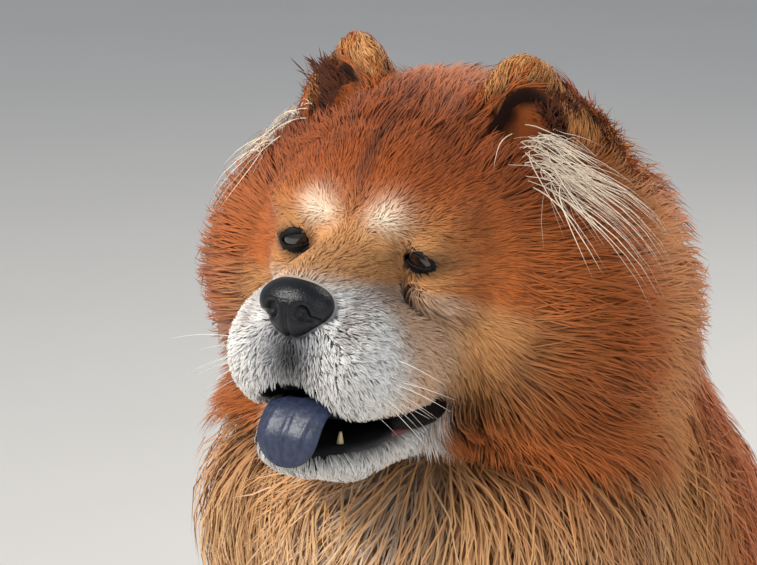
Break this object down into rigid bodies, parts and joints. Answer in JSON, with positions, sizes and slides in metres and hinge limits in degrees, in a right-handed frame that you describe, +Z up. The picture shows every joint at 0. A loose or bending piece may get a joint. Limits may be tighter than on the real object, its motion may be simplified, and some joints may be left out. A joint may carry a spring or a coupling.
{
  "type": "chow chow",
  "caption": "Sitting chow chow with a thick lion-like ruff, small rounded ears, a broad pale muzzle, an open mouth with a blue-black tongue, and a plumed tail curled over its back.",
  "frame": {"origin": "middle of the bounding box at floor level, under the sitting dog", "axes": "+Z up, the dog faces -Y, and its left side is +X"},
  "size_m": [0.3424, 0.6834, 0.7302],
  "materials": {
    "red_coat": "long, dense, matt red-mahogany hair",
    "golden_coat": "long, soft golden-cream hair",
    "muzzle_coat": "short grey-white hair",
    "nose_leather": "fine-grained, slightly damp black skin",
    "tongue": "damp blue-black skin",
    "eye": "wet and glossy",
    "tooth": "glossy ivory",
    "claw": "dull dark horn"
  },
  "bodies": {
    "root": {"head": "red_coat", "lower_jaw": "muzzle_coat", "nose": "nose_leather", "tongue": "tongue", "eye_left": "eye", "eye_right": "eye", "ear_left": "red_coat", "ear_right": "red_coat", "neck": "golden_coat", "torso": "red_coat", "tail": "golden_coat", "foreleg_left": "golden_coat", "forepaw_left": "golden_coat", "hindleg_left": "red_coat", "hindpaw_left": "golden_coat", "foreleg_right": "golden_coat", "forepaw_right": "golden_coat", "hindleg_right": "red_coat", "hindpaw_right": "golden_coat"}
  },
  "joints": []
}
